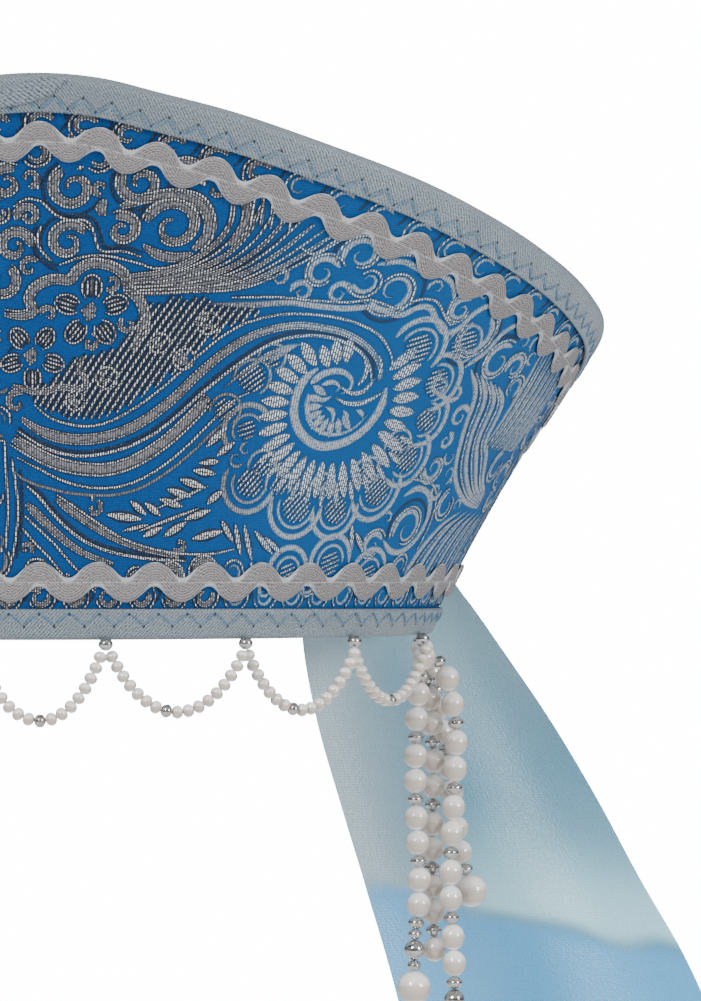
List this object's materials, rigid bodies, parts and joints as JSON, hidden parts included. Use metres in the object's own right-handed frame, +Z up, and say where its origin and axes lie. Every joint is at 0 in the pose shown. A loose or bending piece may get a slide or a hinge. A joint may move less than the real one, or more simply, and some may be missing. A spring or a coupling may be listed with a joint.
{
  "type": "kokoshnik headdress",
  "caption": "Flared front crown of brocade with bound edges, wavy trims, hung bead swags, side bead strings and tie ribbons.",
  "frame": {"origin": "middle of the head opening, at the level of the rim's lower edge", "axes": "+Z up; the front looks along -Y; +X is the viewer's right"},
  "size_m": [0.3336, 0.1641, 0.2215],
  "materials": {
    "brocade": "blue brocade with silver thread",
    "binding_satin": "grey-blue satin",
    "rickrack_tape": "pinkish grey woven tape",
    "pearl": "cream pearl",
    "silver_bead": "polished",
    "ribbon_satin": "light blue satin"
  },
  "bodies": {
    "root": {"crown": "brocade", "top_binding": "binding_satin", "rim_binding": "binding_satin", "upper_rickrack": "rickrack_tape", "lower_rickrack": "rickrack_tape", "rim_bead_1": "silver_bead", "rim_bead_2": "silver_bead", "rim_bead_3": "silver_bead", "rim_bead_4": "silver_bead", "rim_bead_5": "silver_bead", "rim_bead_6": "silver_bead", "rim_bead_7": "silver_bead", "rim_bead_8": "silver_bead", "swag_1": "pearl", "swag_2": "pearl", "swag_3": "pearl", "swag_4": "pearl", "swag_5": "pearl", "swag_6": "pearl", "swag_7": "pearl", "front_string_right": "pearl", "front_string_left": "pearl", "outer_string_right": "pearl", "outer_string_left": "pearl", "middle_string_right": "pearl", "middle_string_left": "pearl", "short_string_right": "pearl", "short_string_left": "pearl", "ribbon_right": "ribbon_satin", "ribbon_left": "ribbon_satin"}
  },
  "joints": []
}
